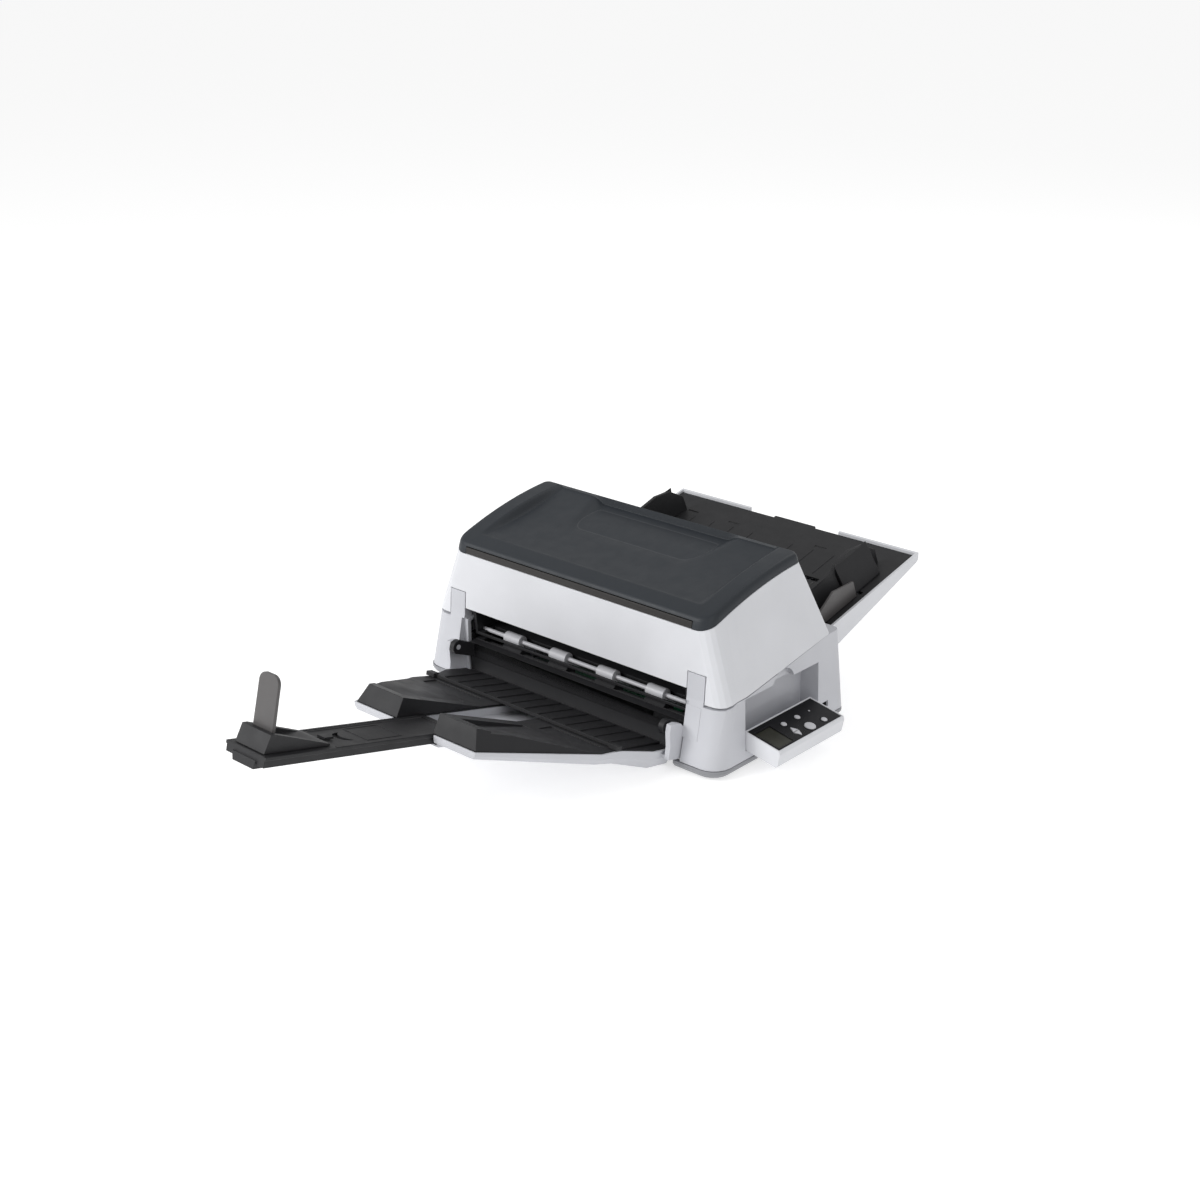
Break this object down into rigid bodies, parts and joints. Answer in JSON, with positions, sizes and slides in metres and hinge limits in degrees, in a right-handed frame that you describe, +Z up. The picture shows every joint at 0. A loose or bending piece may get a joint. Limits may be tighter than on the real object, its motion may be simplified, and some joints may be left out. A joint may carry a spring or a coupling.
{
  "type": "sheet fed document scanner",
  "caption": "Desktop sheet fed document scanner with a rear chute, a dished lift-up top, a folding front stacker with a sliding arm, and a fold-out side operator panel.",
  "frame": {"origin": "centre of the base pan's flat underside, 3 mm above the surface that the feet stand on", "axes": "+X to the right as seen from the front, -Y towards the front where sheets come out, +Z up"},
  "size_m": [0.4718, 0.8408, 0.1973],
  "materials": {
    "grey_plastic": "fine moulded texture",
    "dark_grey_plastic": "fine moulded texture",
    "charcoal_plastic": "fine moulded texture",
    "black_plastic": "fine moulded texture",
    "smoke_plastic": "satin",
    "panel_black": "satin",
    "button_silver": "satin paint",
    "display": "clear window over a dark panel",
    "rubber": "matte",
    "steel": "plated",
    "glass": "clear",
    "circuit_board": "solder mask"
  },
  "bodies": {
    "base": {"base_pan": "dark_grey_plastic", "foot_front_right": "rubber", "foot_rear_right": "rubber", "foot_front_left": "rubber", "foot_rear_left": "rubber", "side_cover_right": "grey_plastic", "side_cover_left": "grey_plastic", "front_sill": "black_plastic", "lower_frame": "black_plastic", "lower_glass": "glass", "lower_image_sensor": "dark_grey_plastic", "main_board": "circuit_board", "power_supply": "steel", "feed_motor": "steel", "drive_belt": "rubber", "rear_cover": "grey_plastic", "power_inlet": "black_plastic", "usb_port": "steel", "adf_hinge_rod": "steel", "chute_tray": "grey_plastic"},
    "adf": {"adf_cover": "grey_plastic", "top_cover": "charcoal_plastic", "upper_frame": "black_plastic", "upper_glass": "glass", "upper_image_sensor": "dark_grey_plastic"},
    "release_bar": {"release_bar": "charcoal_plastic"},
    "pick_roller": {"pick_roller": "rubber"},
    "feed_pinch": {"feed_pinch_roller": "button_silver"},
    "eject_pinch": {"eject_pinch_roller": "button_silver"},
    "feed_roller": {"feed_roller": "rubber", "feed_gear": "button_silver"},
    "eject_roller": {"eject_roller": "rubber"},
    "brake_roller": {"brake_roller": "rubber"},
    "motor_pinion": {"motor_pinion": "button_silver"},
    "stacker": {"stacker_shell": "grey_plastic", "stacker_wing_right": "black_plastic", "stacker_wing_left": "black_plastic", "stacker_apron": "black_plastic"},
    "arm": {"stacker_arm": "black_plastic", "stopper_block": "black_plastic"},
    "stopper_blade": {"stopper_blade": "smoke_plastic"},
    "arm_latch": {"arm_latch": "black_plastic"},
    "panel_right": {"panel_case_right": "grey_plastic", "panel_face_right": "panel_black", "panel_display_right": "display"},
    "panel_left": {"panel_case_left": "grey_plastic", "panel_face_left": "panel_black"},
    "key_mat_left": {"panel_key_mat_left": "button_silver"},
    "hopper": {"chute_deck": "black_plastic"},
    "chute_extension": {"chute_extension": "black_plastic"},
    "guide_right": {"side_guide_right": "black_plastic"},
    "guide_left": {"side_guide_left": "black_plastic"},
    "lever_right": {"guide_lever_right": "smoke_plastic"},
    "lever_left": {"guide_lever_left": "smoke_plastic"},
    "menu_button": {"panel_menu_button_right": "button_silver"},
    "function_button": {"panel_function_button_right": "button_silver"},
    "scan_button": {"panel_scan_button_right": "button_silver"},
    "stop_button": {"panel_stop_button_right": "button_silver"},
    "up_button": {"panel_up_button_right": "button_silver"},
    "down_button": {"panel_down_button_right": "button_silver"}
  },
  "joints": [
    {"name": "adf_open", "type": "hinge", "parent": "base", "child": "adf", "pos_m": [0, -0.0906, 0.086], "axis": [1, 0, 0], "range_deg": [0, 60]},
    {"name": "release_bar_lift", "type": "hinge", "parent": "adf", "child": "release_bar", "pos_m": [0, -0.0885, 0.155], "axis": [1, 0, 0], "range_deg": [-12, 0], "stiffness_Nm_per_rad": 0.2},
    {"name": "pick_spin", "type": "hinge", "parent": "adf", "child": "pick_roller", "pos_m": [0, 0.035, 0.07337], "axis": [1, 0, 0], "continuous": true},
    {"name": "feed_spin", "type": "hinge", "parent": "base", "child": "feed_roller", "pos_m": [0, 0.008, 0.04682], "axis": [1, 0, 0], "continuous": true},
    {"name": "eject_spin", "type": "hinge", "parent": "base", "child": "eject_roller", "pos_m": [0, -0.075, 0.03835], "axis": [1, 0, 0], "continuous": true},
    {"name": "feed_pinch_spin", "type": "hinge", "parent": "adf", "child": "feed_pinch", "pos_m": [0, 0.008, 0.06362], "axis": [1, 0, 0], "continuous": true},
    {"name": "eject_pinch_spin", "type": "hinge", "parent": "adf", "child": "eject_pinch", "pos_m": [0, -0.075, 0.05515], "axis": [1, 0, 0], "continuous": true},
    {"name": "brake_spin", "type": "hinge", "parent": "base", "child": "brake_roller", "pos_m": [0, 0.035, 0.04857], "axis": [1, 0, 0], "continuous": true},
    {"name": "pinion_spin", "type": "hinge", "parent": "base", "child": "motor_pinion", "pos_m": [-0.1635, 0.0226, 0.03221], "axis": [1, 0, 0], "continuous": true},
    {"name": "stacker_fold", "type": "hinge", "parent": "base", "child": "stacker", "pos_m": [0, -0.12002, 0.047], "axis": [1, 0, 0], "range_deg": [-76, 0]},
    {"name": "arm_slide", "type": "slide", "parent": "stacker", "child": "arm", "axis": [0, -0.9703, 0.2419], "range_m": [-0.165, 0]},
    {"name": "blade_fold", "type": "hinge", "parent": "arm", "child": "stopper_blade", "pos_m": [0, -0.50725, 0.12459], "axis": [1, 0, 0], "range_deg": [-90, 0]},
    {"name": "latch_slide", "type": "slide", "parent": "arm", "child": "arm_latch", "axis": [0, -0.9703, 0.2419], "range_m": [0, 0.0045]},
    {"name": "panel_right_fold", "type": "hinge", "parent": "base", "child": "panel_right", "pos_m": [0.207, 0, 0.0243], "axis": [0, 1, 0], "range_deg": [-101, 0]},
    {"name": "menu_press", "type": "slide", "parent": "panel_right", "child": "menu_button", "axis": [-0.1908, 0, -0.9816], "range_m": [0, 0.0006], "stiffness_N_per_m": 250},
    {"name": "function_press", "type": "slide", "parent": "panel_right", "child": "function_button", "axis": [-0.1908, 0, -0.9816], "range_m": [0, 0.0006], "stiffness_N_per_m": 250},
    {"name": "scan_press", "type": "slide", "parent": "panel_right", "child": "scan_button", "axis": [-0.1908, 0, -0.9816], "range_m": [0, 0.0006], "stiffness_N_per_m": 250},
    {"name": "stop_press", "type": "slide", "parent": "panel_right", "child": "stop_button", "axis": [-0.1908, 0, -0.9816], "range_m": [0, 0.0006], "stiffness_N_per_m": 250},
    {"name": "up_press", "type": "slide", "parent": "panel_right", "child": "up_button", "axis": [-0.1908, 0, -0.9816], "range_m": [0, 0.0006], "stiffness_N_per_m": 250},
    {"name": "down_press", "type": "slide", "parent": "panel_right", "child": "down_button", "axis": [-0.1908, 0, -0.9816], "range_m": [0, 0.0006], "stiffness_N_per_m": 250},
    {"name": "panel_left_fold", "type": "hinge", "parent": "base", "child": "panel_left", "pos_m": [-0.207, 0, 0.0243], "axis": [0, 1, 0], "range_deg": [-101, 0]},
    {"name": "key_mat_press", "type": "slide", "parent": "panel_left", "child": "key_mat_left", "axis": [-1, 0, 0], "range_m": [0, 0.0006], "stiffness_N_per_m": 300},
    {"name": "hopper_lift", "type": "hinge", "parent": "base", "child": "hopper", "pos_m": [0, 0.292, 0.11797], "axis": [1, 0, 0], "range_deg": [0, 6]},
    {"name": "extension_slide", "type": "slide", "parent": "hopper", "child": "chute_extension", "axis": [0, 0.9735, 0.2288], "range_m": [0, 0.115]},
    {"name": "guide_right_slide", "type": "slide", "parent": "hopper", "child": "guide_right", "axis": [1, 0, 0], "range_m": [-0.11, 0.008]},
    {"name": "guide_left_slide", "type": "slide", "parent": "hopper", "child": "guide_left", "axis": [1, 0, 0], "range_m": [-0.008, 0.11]},
    {"name": "lever_right_squeeze", "type": "hinge", "parent": "guide_right", "child": "lever_right", "pos_m": [0.1633, 0.16566, 0.08911], "axis": [0, 0.9735, 0.2288], "range_deg": [-8, 0], "stiffness_Nm_per_rad": 0.05},
    {"name": "lever_left_squeeze", "type": "hinge", "parent": "guide_left", "child": "lever_left", "pos_m": [-0.1633, 0.16566, 0.08911], "axis": [0, 0.9735, 0.2288], "range_deg": [0, 8], "stiffness_Nm_per_rad": 0.05}
  ],
  "couplings": [
    {"joint": "eject_spin", "follows": "feed_spin", "ratio": 1},
    {"joint": "feed_pinch_spin", "follows": "feed_spin", "ratio": -1.2857},
    {"joint": "eject_pinch_spin", "follows": "feed_spin", "ratio": -1.2857},
    {"joint": "pinion_spin", "follows": "feed_spin", "ratio": -2.4},
    {"joint": "guide_left_slide", "follows": "guide_right_slide", "ratio": -1}
  ]
}
